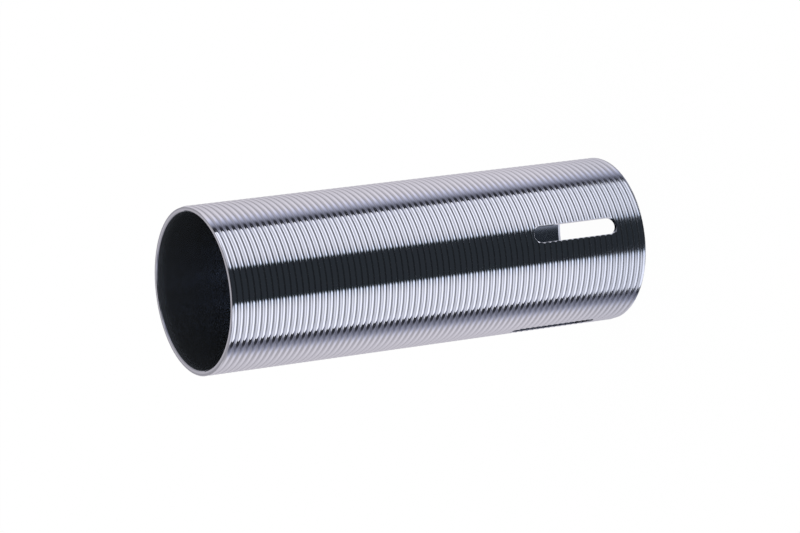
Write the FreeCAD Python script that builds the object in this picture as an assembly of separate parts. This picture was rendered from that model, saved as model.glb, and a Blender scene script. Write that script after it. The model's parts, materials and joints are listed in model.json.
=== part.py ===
import FreeCAD, Part
import math
import os

# Finned cylinder sleeve: one piece of thin stainless tube, turned all over.
# The tube stands on its ported end: the axis is +Z, and the end face near the slots lies on z = 0.
# All sizes are in millimetres.

# Tube
bore_diameter = 23.8
wall_thickness = 0.8
tube_length = 71.8

# Outer edges of the two ends, and the edge of the bore at the mouth
ported_end_chamfer = 0.2
mouth_end_chamfer = 0.15
mouth_bore_chamfer = 0.15

# Lead-in at the bore's ported end, which draws a seal ring in past the edge
lead_in_length = 0.6
lead_in_width = 0.4

# Fins: a round-nosed tool turned the real surface as one fine right-hand groove, which leaves a sharp crest
# at each 1.0 mm. Here it is rings of V section at the groove's own depth, spaced wider to keep the faces few.
# At a fin_pitch of 1.0 the rings have the real spacing.
fin_pitch = 2.25
groove_depth = 0.13

# Slots: four equal ports round the tube, milled through the wall near the ported end
slot_count = 4
slot_width = 2.55
slot_length = 14.8
slot_end_land = 4.8
slot_edge_chamfer = 0.15

# How far a cutting shape runs past the surface that it cuts
cutter_clearance = 1.0

bore_radius = bore_diameter / 2
outer_radius = bore_radius + wall_thickness
slot_low = slot_end_land
slot_high = slot_end_land + slot_length

origin = FreeCAD.Vector(0, 0, 0)
axis = FreeCAD.Vector(0, 0, 1)
full_turn = 360.0
same_place = 1e-3


def turned(outline):
    """The solid that a closed outline of (radius, height) points sweeps round the axis."""
    corners = [FreeCAD.Vector(radius, 0, height) for radius, height in outline]
    wire = Part.makePolygon(corners + corners[:1])
    return Part.Face(wire).revolve(origin, axis, full_turn)


def tube_blank():
    """The plain tube with its chamfered ends, before the slots and the fins are cut."""
    return turned(
        [
            (bore_radius, lead_in_length),
            (bore_radius + lead_in_width, 0),
            (outer_radius - ported_end_chamfer, 0),
            (outer_radius, ported_end_chamfer),
            (outer_radius, tube_length - mouth_end_chamfer),
            (outer_radius - mouth_end_chamfer, tube_length),
            (bore_radius + mouth_bore_chamfer, tube_length),
            (bore_radius, tube_length - mouth_bore_chamfer),
        ]
    )


def slot_cutter(angle):
    """A bar with the slot's round-ended outline, which runs in through the wall on one side."""
    half_width = slot_width / 2
    outside = -(outer_radius + cutter_clearance)
    depth = wall_thickness + 2 * cutter_clearance
    low_centre = slot_low + half_width
    high_centre = slot_high - half_width
    low_left = FreeCAD.Vector(-half_width, outside, low_centre)
    low_right = FreeCAD.Vector(half_width, outside, low_centre)
    low_tip = FreeCAD.Vector(0, outside, slot_low)
    high_left = FreeCAD.Vector(-half_width, outside, high_centre)
    high_right = FreeCAD.Vector(half_width, outside, high_centre)
    high_tip = FreeCAD.Vector(0, outside, slot_high)
    outline = Part.Wire(
        [
            Part.Arc(low_left, low_tip, low_right).toShape(),
            Part.LineSegment(low_right, high_right).toShape(),
            Part.Arc(high_right, high_tip, high_left).toShape(),
            Part.LineSegment(high_left, low_left).toShape(),
        ]
    )
    cutter = Part.Face(outline).extrude(FreeCAD.Vector(0, depth, 0))
    cutter.rotate(origin, axis, angle)
    return cutter


def with_slots(tube):
    """The tube with its ring of equal slots, the first of them facing -Y."""
    for number in range(slot_count):
        tube = tube.cut(slot_cutter(full_turn * number / slot_count))
    return tube


def is_slot_rim(edge):
    """Whether an edge is where a slot breaks out through the tube's outer skin."""
    middle = edge.valueAt((edge.FirstParameter + edge.LastParameter) / 2)
    points = [middle] + [vertex.Point for vertex in edge.Vertexes]
    on_skin = all(abs(math.hypot(p.x, p.y) - outer_radius) < same_place for p in points)
    beside_slot = all(slot_low - same_place < p.z < slot_high + same_place for p in points)
    return on_skin and beside_slot


def with_broken_edges(tube):
    """The tube with the sharp outer rim of each slot chamfered."""
    return tube.makeChamfer(slot_edge_chamfer, [edge for edge in tube.Edges if is_slot_rim(edge)])


def groove_cutter():
    """All that the turning tool takes off: rings of V section, the first from a crest at the ported end."""
    clear = outer_radius + cutter_clearance
    root = outer_radius - groove_depth
    ring_count = math.ceil(tube_length / fin_pitch)
    outline = [(clear, 0), (outer_radius, 0)]
    for number in range(ring_count):
        outline.append((root, (number + 0.5) * fin_pitch))
        outline.append((outer_radius, (number + 1) * fin_pitch))
    outline.append((clear, ring_count * fin_pitch))
    return turned(outline)


def finned_cylinder():
    tube = with_broken_edges(with_slots(tube_blank()))
    return tube.cut(groove_cutter()).Solids[0]


os.makedirs("parts", exist_ok=True)
sleeve = finned_cylinder()
sleeve.exportStep("parts/finned_cylinder.step")
print("finned_cylinder", sleeve.isValid(), "faces", len(sleeve.Faces), "volume", round(sleeve.Volume, 1))
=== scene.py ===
import bmesh
import bpy
import json
import math
from mathutils import Matrix, Vector


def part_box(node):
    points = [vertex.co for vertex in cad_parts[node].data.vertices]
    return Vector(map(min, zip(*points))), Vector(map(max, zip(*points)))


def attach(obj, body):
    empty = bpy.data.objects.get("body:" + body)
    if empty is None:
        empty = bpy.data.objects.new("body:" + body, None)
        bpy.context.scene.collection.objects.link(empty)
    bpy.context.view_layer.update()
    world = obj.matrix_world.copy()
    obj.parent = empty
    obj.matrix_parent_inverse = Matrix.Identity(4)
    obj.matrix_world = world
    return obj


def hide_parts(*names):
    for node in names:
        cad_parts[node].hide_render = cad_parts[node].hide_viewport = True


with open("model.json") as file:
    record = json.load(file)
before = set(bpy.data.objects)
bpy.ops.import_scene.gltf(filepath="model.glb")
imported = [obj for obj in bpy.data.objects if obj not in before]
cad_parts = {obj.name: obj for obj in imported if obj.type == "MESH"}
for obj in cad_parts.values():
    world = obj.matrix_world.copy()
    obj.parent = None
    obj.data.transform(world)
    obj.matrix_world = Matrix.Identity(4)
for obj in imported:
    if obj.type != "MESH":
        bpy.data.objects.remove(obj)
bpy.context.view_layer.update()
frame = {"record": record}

# The finned sleeve: one thin stainless tube, 25.4 mm outside and 71.8 mm long, bored right through.
# A round-nosed tool turns one fine right-hand groove over its outside and leaves a sharp crest at each turn.
# Four round-ended ports are milled through the wall near the end it stands on, and their edges are broken.
millimetre = 0.001
sleeve_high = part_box("finned_cylinder")[1]
mounts = {mount["name"]: mount for mount in frame["record"]["mounts"]}
outer_radius = sleeve_high.x
tube_length = sleeve_high.z
bore_radius = mounts["bore"]["dims"]["r_mm"] * millimetre

groove_pitch = 0.997 * millimetre
tool_nose_radius = 1.0 * millimetre
groove_depth = tool_nose_radius - math.sqrt(tool_nose_radius ** 2 - groove_pitch ** 2 / 4)
crest_height = 0.397 * groove_pitch  # where a crest passes the +X side, above the ported end
spare_turns = 2  # turns of groove past each end, which the end cuts take off
steps_a_turn = 72
steps_a_pitch = 10

ported_end_chamfer = 0.2 * millimetre
mouth_end_chamfer = 0.15 * millimetre
mouth_bore_chamfer = 0.15 * millimetre
lead_in_length = 0.6 * millimetre
lead_in_width = 0.4 * millimetre

slot_count = 4
slot_width = 2.55 * millimetre
slot_length = 14.8 * millimetre
slot_end_land = 4.8 * millimetre
slot_edge_depth = 0.15 * millimetre
slot_edge_width = 0.22 * millimetre
slot_corner_steps = 48
bore_steps = 6
sharp_edge = math.radians(24)
weld_distance = 0.001 * millimetre
cut_distance = weld_distance / 10  # a corner nearer than this to a cut lies on it


def groove_line():
    """Radius and height of the groove's section on the +X side, past both ends of the tube."""
    points = []
    for turn in range(-spare_turns, math.ceil(tube_length / groove_pitch) + spare_turns):
        middle = crest_height + (turn + 0.5) * groove_pitch
        for step in range(steps_a_pitch):
            offset = groove_pitch / 2 * math.sin(math.pi * (step / steps_a_pitch - 0.5))
            lift = tool_nose_radius - math.sqrt(tool_nose_radius ** 2 - offset ** 2)
            points.append((outer_radius - groove_depth + lift, middle + offset))
    return points


def cut_level(mesh, height, clear_above=False, clear_below=False):
    """Cuts the mesh at a height, and takes off what lies above or below it."""
    everything = mesh.verts[:] + mesh.edges[:] + mesh.faces[:]
    bmesh.ops.bisect_plane(
        mesh,
        geom=everything,
        dist=cut_distance,
        plane_co=(0, 0, height),
        plane_no=(0, 0, 1),
        clear_outer=clear_above,
        clear_inner=clear_below,
    )


def rim_edges(mesh, height):
    """The open edges that lie at a height."""
    return [
        edge
        for edge in mesh.edges
        if edge.is_boundary and all(abs(v.co.z - height) < weld_distance for v in edge.verts)
    ]


def drawn_in(mesh, edges, radius, height):
    """Extrudes a rim to a circle of a radius at a height, and gives the new rim."""
    made = bmesh.ops.extrude_edge_only(mesh, edges=edges)["geom"]
    for vertex in [item for item in made if isinstance(item, bmesh.types.BMVert)]:
        reach = math.hypot(vertex.co.x, vertex.co.y)
        vertex.co = (vertex.co.x * radius / reach, vertex.co.y * radius / reach, height)
    return [item for item in made if isinstance(item, bmesh.types.BMEdge)]


def chamfer_skin(mesh):
    """Draws the skin in to the chamfer at each end, where it stands past it."""
    for vertex in mesh.verts:
        above_foot = vertex.co.z
        below_mouth = tube_length - vertex.co.z
        limit = outer_radius - max(0, ported_end_chamfer - above_foot, mouth_end_chamfer - below_mouth)
        reach = math.hypot(vertex.co.x, vertex.co.y)
        if reach > limit:
            vertex.co.x *= limit / reach
            vertex.co.y *= limit / reach


def turned_tube():
    """The whole tube without its slots: the helical skin, the bore and the two end faces."""
    mesh = bmesh.new()
    line = [mesh.verts.new((radius, 0, height)) for radius, height in groove_line()]
    edges = [mesh.edges.new(pair) for pair in zip(line, line[1:])]
    bmesh.ops.spin(
        mesh,
        geom=line + edges,
        cent=(0, 0, 0),
        axis=(0, 0, 1),
        dvec=(0, 0, groove_pitch / steps_a_turn),
        angle=2 * math.pi,
        steps=steps_a_turn,
        use_merge=False,
    )
    bmesh.ops.remove_doubles(mesh, verts=mesh.verts[:], dist=weld_distance)
    cut_level(mesh, 0, clear_below=True)
    cut_level(mesh, tube_length, clear_above=True)
    cut_level(mesh, ported_end_chamfer)
    cut_level(mesh, tube_length - mouth_end_chamfer)
    chamfer_skin(mesh)
    foot = drawn_in(mesh, rim_edges(mesh, 0), bore_radius + lead_in_width, 0)
    bore = drawn_in(mesh, rim_edges(mesh, tube_length), bore_radius + mouth_bore_chamfer, tube_length)
    bore_top = tube_length - mouth_bore_chamfer
    for step in range(bore_steps + 1):
        height = bore_top + (lead_in_length - bore_top) * step / bore_steps
        bore = drawn_in(mesh, bore, bore_radius, height)
    bmesh.ops.bridge_loops(mesh, edges=foot + bore)
    bmesh.ops.recalc_face_normals(mesh, faces=mesh.faces[:])
    return mesh


def lay_slot_ring(ring, radius, flare):
    """Lays a ring in the slot's outline, grown by the flare, on a cylinder round the tube's axis."""
    half_width = slot_width / 2
    grow = (half_width + flare) / half_width
    for vertex, flat in ring.items():
        across = flat.x * grow
        lift = slot_length - slot_width if flat.y > 0 else 0
        height = slot_end_land + half_width + lift + flat.y * grow
        vertex.co = (across, -math.sqrt(radius ** 2 - across ** 2), height)


def slot_cutter(turn):
    """A plug with the slot's outline, which flares to break the slot's outer edge."""
    mesh = bmesh.new()
    matrix = Matrix.Rotation(math.pi / slot_corner_steps, 4, "Z")
    bmesh.ops.create_circle(mesh, segments=slot_corner_steps, radius=slot_width / 2, matrix=matrix)
    ring = {vertex: vertex.co.copy() for vertex in mesh.verts}  # each corner, and its place on a flat circle
    edges = mesh.edges[:]
    lay_slot_ring(ring, bore_radius - slot_width, 0)
    wall_rings = [
        (outer_radius - slot_edge_depth, 0),
        (outer_radius + slot_edge_depth, 2 * slot_edge_width),
    ]
    for radius, flare in wall_rings:
        made = bmesh.ops.extrude_edge_only(mesh, edges=edges)["geom"]
        edges = [item for item in made if isinstance(item, bmesh.types.BMEdge)]
        copies = [item for item in made if isinstance(item, bmesh.types.BMVert)]
        copy_of = {min(ring, key=lambda old: (old.co - vertex.co).length): vertex for vertex in copies}
        ring = {copy_of[old]: flat for old, flat in ring.items()}
        lay_slot_ring(ring, radius, flare)
    bmesh.ops.holes_fill(mesh, edges=mesh.edges[:])
    bmesh.ops.recalc_face_normals(mesh, faces=mesh.faces[:])
    bmesh.ops.rotate(mesh, verts=mesh.verts[:], cent=(0, 0, 0), matrix=Matrix.Rotation(turn, 3, "Z"))
    return mesh


def as_object(mesh, name):
    """Makes a mesh an object of the scene."""
    data = bpy.data.meshes.new(name)
    mesh.to_mesh(data)
    mesh.free()
    made = bpy.data.objects.new(name, data)
    bpy.context.scene.collection.objects.link(made)
    return made


sleeve = as_object(turned_tube(), "finned_sleeve")
slot_turns = [2 * math.pi * number / slot_count for number in range(slot_count)]
cutters = [as_object(slot_cutter(turn), "slot_cutter") for turn in slot_turns]
for cutter in cutters:
    cut = sleeve.modifiers.new("slot", "BOOLEAN")
    cut.operation = "DIFFERENCE"
    cut.solver = "MANIFOLD"
    cut.object = cutter
slotted = sleeve.evaluated_get(bpy.context.evaluated_depsgraph_get())
sleeve.data = bpy.data.meshes.new_from_object(slotted)
sleeve.modifiers.clear()
for cutter in cutters:
    bpy.data.objects.remove(cutter)

mesh = bmesh.new()
mesh.from_mesh(sleeve.data)
for face in mesh.faces:
    face.smooth = True
for edge in mesh.edges:
    edge.smooth = edge.calc_face_angle(0) < sharp_edge
mesh.to_mesh(sleeve.data)
mesh.free()


class Shade:
    """A socket of a node tree, on which sums make Math nodes."""

    def __init__(self, tree, socket=None):
        self.tree = tree
        self.socket = socket

    def node(self, kind, inputs=None, outlet=0, **settings):
        """Adds a node of a type with its settings, and values or links for its inputs by number or name."""
        made = self.tree.nodes.new(kind)
        for name, value in settings.items():
            setattr(made, name, value)
        for place, value in (inputs or {}).items():
            if isinstance(value, Shade):
                self.tree.links.new(value.socket, made.inputs[place])
            else:
                made.inputs[place].default_value = value
        return Shade(self.tree, made.outputs[outlet])

    def math(self, operation, *values):
        """Adds a Math node for an operation on values or sockets."""
        return self.node("ShaderNodeMath", dict(enumerate(values)), operation=operation)

    def __add__(self, other):
        return self.math("ADD", self, other)

    def __radd__(self, other):
        return self.math("ADD", other, self)

    def __sub__(self, other):
        return self.math("SUBTRACT", self, other)

    def __rsub__(self, other):
        return self.math("SUBTRACT", other, self)

    def __mul__(self, other):
        return self.math("MULTIPLY", self, other)

    def __rmul__(self, other):
        return self.math("MULTIPLY", other, self)

    def __truediv__(self, other):
        return self.math("DIVIDE", self, other)

    def parts(self):
        """The X, Y and Z of a vector."""
        return [self.node("ShaderNodeSeparateXYZ", {0: self}, outlet=number) for number in range(3)]

    def feed(self, socket):
        """Links this to a socket of a node that the tree ends in."""
        self.tree.links.new(self.socket, socket)

    def step(self, middle, soft):
        """0 below a value and 1 above it, smooth over a width each side."""
        inputs = {0: self, 1: middle - soft, 2: middle + soft, 3: 0.0, 4: 1.0}
        return self.node("ShaderNodeMapRange", inputs, interpolation_type="SMOOTHSTEP")

    def pick(self, first, second):
        """The first value where this is 0, and the second where it is 1."""
        return self.node("ShaderNodeMix", {0: self, 2: first, 3: second}, data_type="FLOAT")

    def blend(self, first, second):
        """The first colour where this is 0, and the second where it is 1."""
        return self.node("ShaderNodeMix", {0: self, 6: first, 7: second}, outlet=2, data_type="RGBA")


# The finish: bright turned steel outside, a little duller and bluer round the ports. Painted shade darkens
# the mouth face, most on its outer half, and darkens the smooth bore towards the mouth. The masks are 1 on
# the place that they name.
skin_tone = 0.70
# painted shade on the mouth face, with more of it on the face's outer half
mouth_face_painted_shade = 0.07
mouth_edge_painted_shade = 0.17
port_end_dimming = 0.07
blueness = 0.012
skin_roughness = 0.06
port_end_roughness = 0.14
bore_at_ports = (0.51, 0.54, 0.59, 1)
# painted shade: the bore's darker colour at the mouth end
bore_painted_shade_at_mouth = (0.39, 0.42, 0.46, 1)
bore_roughness = 0.15
mouth_roughness = 0.32
bore_metal = 0.96

steel = bpy.data.materials.new("turned_stainless")
steel.use_nodes = True
tree = steel.node_tree
start = Shade(tree)
x, y, z = start.node("ShaderNodeTexCoord", outlet="Object").parts()
wall_depth = (start.math("SQRT", x * x + y * y) - bore_radius) / millimetre
up = z / millimetre
past_mouth = (z - tube_length) / millimetre
outside = wall_depth.step(0.05, soft=0.05)
outer_half = wall_depth.step(0.42, soft=0.05)
mouth_face = past_mouth.step(-0.02, soft=0.01)
near_mouth = past_mouth.step(-1.1, soft=0.9)
mouth_half = up.step(32, soft=16)
port_end = 1 - up.step(9, soft=9)

# the mouth face's painted shade is taken off the skin's tone here
tone = skin_tone - mouth_face * (mouth_face_painted_shade + mouth_edge_painted_shade * outer_half) - port_end_dimming * port_end
cool = blueness + blueness * port_end
skin_colour = start.node("ShaderNodeCombineColor", {0: tone - cool, 1: tone, 2: tone + cool})
# the bore's colour blends into its painted shade towards the mouth
colour = outside.blend(mouth_half.blend(bore_at_ports, bore_painted_shade_at_mouth), skin_colour)
bore_finish = near_mouth.pick(bore_roughness, mouth_roughness)
rough = outside.pick(bore_finish, port_end.pick(skin_roughness, port_end_roughness))
surface = tree.nodes["Principled BSDF"]
colour.feed(surface.inputs["Base Color"])
rough.feed(surface.inputs["Roughness"])
outside.pick(bore_metal, 1.0).feed(surface.inputs["Metallic"])
sleeve.data.materials.clear()
sleeve.data.materials.append(steel)
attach(sleeve, "root")
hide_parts("finned_cylinder")

# The camera looks down on the open mouth, from 29 degrees above the floor that the tube stands on.
# It is rolled on its side, so the standing tube lies across the picture as in the photograph.
camera_azimuth = math.radians(-98.22)
camera_elevation = math.radians(29.125)
camera_roll = math.radians(97.39)
camera_distance = 0.63075
camera_aim = Vector((-0.0003, 0.0, 0.036495))
camera_sensor = 36.0
camera_lens = 186.65
camera_near = 0.01
camera_far = 10
toward_camera = Vector(
    (
        math.cos(camera_elevation) * math.cos(camera_azimuth),
        math.cos(camera_elevation) * math.sin(camera_azimuth),
        math.sin(camera_elevation),
    )
)
camera_data = bpy.data.cameras.new("camera")
camera_data.sensor_width = camera_sensor
camera_data.lens = camera_lens
camera_data.clip_start = camera_near
camera_data.clip_end = camera_far
camera = bpy.data.objects.new("camera", camera_data)
bpy.context.scene.collection.objects.link(camera)
camera.rotation_mode = "QUATERNION"
facing = (-toward_camera).to_track_quat("-Z", "Y")
camera.rotation_quaternion = facing @ Matrix.Rotation(-camera_roll, 4, "Z").to_quaternion()
camera.location = camera_aim + toward_camera * camera_distance
bpy.context.scene.camera = camera

# The studio, which only the steel mirrors: a dark opening behind the camera, a tall bright panel on each
# side of it, then a dark gap, and a grey wall round behind the tube. Left and right are as seen from the
# camera's place. Aside and rise are angles in degrees, from the camera's direction and from the level.
side_offset = 0.4
opening_edge = 23.7
opening_spread_start = -22
opening_spread = 0.266
opening_left_start = -8
opening_left_spread = 0.07
opening_left_offset = 0.7
opening_glow_low = 0.035
opening_glow_high = 0.016

panel_glow = 0.66
panel_high_glow_left = 0.32
panel_high_glow_right = 0.25
panel_dimming = 0.65  # the share that a panel loses next to the camera
panel_edge_left = 71.3
panel_edge_right = 72.7
edge_lean = 0.35
edge_bow_start = -33.5
edge_bow = 0.081

strip_glow = 1.38
strip_lean = 0.1
strip_offset = 6
strip_bottom = -24.2
strip_top_left = 1.4
strip_top_right = -4.4

foot_glow_left = 0.96
foot_glow_right = 0.91
foot_glow_middle = 50  # aside, where the foot has its plain glow
foot_glow_growth = 0.0114
foot_top_left = -48
foot_top_right = -55.6
foot_lean = 0.25
foot_lean_offset = 15
far_left_dimming = 0.5

gap_glow_low = 0.24
gap_glow = 0.035
gap_glow_high = 0.45

wall_edge = 83
wall_glow = 0.43
wall_dimming = 0.6  # the share that the wall loses next to the gap
band_glow_left = 0.87
band_glow_right = 0.95
band_dimming = 0.25
band_bottom = -35
band_top = -8
band_rise_left = 37
band_rise_right = 24
band_lean_left = 0.27
band_lean_right = 0.2
back_high_glow = 0.6
back_low_glow = 0.08
underfoot_dimming = 0.65

opening_tint = (0.84, 1.00, 1.25, 1)
panel_inner_tint = (0.92, 1.00, 1.26, 1)
panel_tint = (0.99, 1.00, 1.15, 1)
gap_tint = (0.98, 1.00, 1.32, 1)
wall_tint = (1.05, 1.00, 1.11, 1)
white = (1, 1, 1, 1)

world = bpy.data.worlds.new("studio")
bpy.context.scene.world = world
world.use_nodes = True
tree = world.node_tree
tree.nodes.clear()
start = Shade(tree)
direction = start.node("ShaderNodeTexCoord", outlet="Generated")
turn = {"Vector": direction, "Angle": -camera_azimuth}
x, y, z = start.node("ShaderNodeVectorRotate", turn, rotation_type="Z_AXIS").parts()
azimuth = start.math("ARCTAN2", y, x) * math.degrees(1)
rise = start.math("ARCSINE", z) * math.degrees(1)
aside = start.math("ABSOLUTE", azimuth + side_offset)
right = azimuth.step(0, soft=2)
left = 1 - right


def by_side(on_left, on_right):
    """The first value on the camera's left, and the second on its right."""
    return right.pick(on_left, on_right)


def never_negative(value):
    """The value, or 0 where it is below 0."""
    return start.math("MAXIMUM", value, 0.0)


# A panel: dimmer in its upper half and towards the camera, with a leaning bright strip across it
upper_half = rise.step(-10, soft=10)
panel = upper_half.pick(panel_glow, by_side(panel_high_glow_left, panel_high_glow_right))
panel = panel * (1 - panel_dimming + panel_dimming * aside.step(33, soft=9))
strip_rise = rise + aside * strip_lean - strip_offset
strip_top = by_side(strip_rise.step(strip_top_left, soft=4.1), strip_rise.step(strip_top_right, soft=4.1))
strip = strip_rise.step(strip_bottom, soft=6.3) - strip_top
panel = strip.pick(panel, strip_glow)

# Its bright foot: brightest along its top and away from the camera, and dimmer again at the far left
foot_rise = rise - left * (aside * foot_lean - foot_lean_offset)
foot = 1 - by_side(foot_rise.step(foot_top_left, soft=6), foot_rise.step(foot_top_right, soft=6.6))
foot_glow = by_side(foot_glow_left, foot_glow_right) + (aside - foot_glow_middle) * foot_glow_growth
foot_top = by_side(foot_rise.step(-58, soft=4).pick(0.97, 1.32), foot_rise.step(-68, soft=5).pick(1.0, 1.11))
far_left = left * aside.step(75, soft=9)
panel = foot.pick(panel, foot_glow * foot_top * (1 - far_left_dimming * far_left))

# The wall: a bright band that sinks towards the back, which is plain above the level and dark below it
band_middle = by_side(band_rise_left - band_lean_left * aside, band_rise_right - band_lean_right * aside)
wall_rise = rise - band_middle
band = wall_rise.step(band_bottom, soft=10) - wall_rise.step(band_top, soft=10)
band_glow = by_side(band_glow_left, band_glow_right) * (1 - band_dimming * aside.step(130, soft=20))
back_high = aside.step(150, soft=8) * rise.step(-4, soft=6)
back_low = aside.step(170, soft=4) * rise.step(-60, soft=6) * (1 - rise.step(0, soft=6))
wall = band.pick(wall_glow, band_glow)
wall = back_high.pick(wall, back_high_glow)
wall = back_low.pick(wall, back_low_glow)

# The gap and the wall follow the panel's far edge, which bows as a near and flat panel's does
below_bow = never_negative(edge_bow_start - rise)
bowed = aside + rise * edge_lean - below_bow * below_bow * edge_bow
past_panel = by_side(bowed.step(panel_edge_left, soft=0.5), bowed.step(panel_edge_right, soft=0.5))
past_gap = bowed.step(wall_edge, soft=4)
past_wall_edge = by_side(bowed.step(95, soft=7.5), bowed.step(91, soft=8))
gap = rise.step(4, soft=6).pick(rise.step(-42, soft=6).pick(gap_glow_low, gap_glow), gap_glow_high)
wall = wall * (1 - wall_dimming + wall_dimming * past_wall_edge)
glow = past_gap.pick(past_panel.pick(panel, gap), wall)
glow = glow * (1 - underfoot_dimming + underfoot_dimming * rise.step(-80, soft=5))

# The opening: it widens downwards, and on the left upwards too, and runs on overhead and underfoot
inner = aside - never_negative(opening_spread_start - rise) * opening_spread
left_spread = never_negative(rise - opening_left_start) * opening_left_spread
inner = inner + left * (opening_left_offset - left_spread)
camera_half = x.step(0, soft=0.05)
off_middle = start.math("ABSOLUTE", y).step(0.24, soft=0.03)
lit = inner.step(opening_edge, soft=1.9) * (1 - camera_half * (1 - off_middle))
glow = lit.pick(rise.step(4, soft=8).pick(opening_glow_low, opening_glow_high), glow)

tint = aside.step(29, soft=6).blend(panel_inner_tint, panel_tint)
tint = bowed.step(74, soft=2).blend(tint, gap_tint)
tint = bowed.step(98, soft=10).blend(tint, wall_tint)
tint = lit.blend(opening_tint, tint)
mirrored = start.node("ShaderNodeBackground", {"Color": tint, "Strength": glow})
plain = start.node("ShaderNodeBackground", {"Color": white})
glossy = start.node("ShaderNodeLightPath", outlet="Is Glossy Ray")
chosen = start.node("ShaderNodeMixShader", {0: glossy, 1: plain, 2: mirrored})
chosen.feed(tree.nodes.new("ShaderNodeOutputWorld").inputs["Surface"])

# The floor that the tube stands on: one flat white sheet that runs past the picture on every side.
# It glows white to the camera, and a small matt share of it shows the soft shadow that the tube casts.
# The steel doesn't mirror it, because the studio already holds what lies below.
floor_size = 40.0
shadow_share = 0.02
mesh = bmesh.new()
bmesh.ops.create_grid(mesh, x_segments=1, y_segments=1, size=floor_size / 2)
floor = as_object(mesh, "floor")
paint = bpy.data.materials.new("floor_white")
paint.use_nodes = True
tree = paint.node_tree
tree.nodes.clear()
start = Shade(tree)
seen = start.node("ShaderNodeLightPath", outlet="Is Camera Ray")
matt = start.node("ShaderNodeBsdfDiffuse", {"Color": white})
glowing = start.node("ShaderNodeEmission", {"Color": white})
mixed = start.node("ShaderNodeMixShader", {0: seen * (1 - shadow_share), 1: matt, 2: glowing})
mixed.feed(tree.nodes.new("ShaderNodeOutputMaterial").inputs["Surface"])
floor.data.materials.append(paint)
floor.visible_glossy = False

bpy.context.scene.view_settings.view_transform = "Standard"
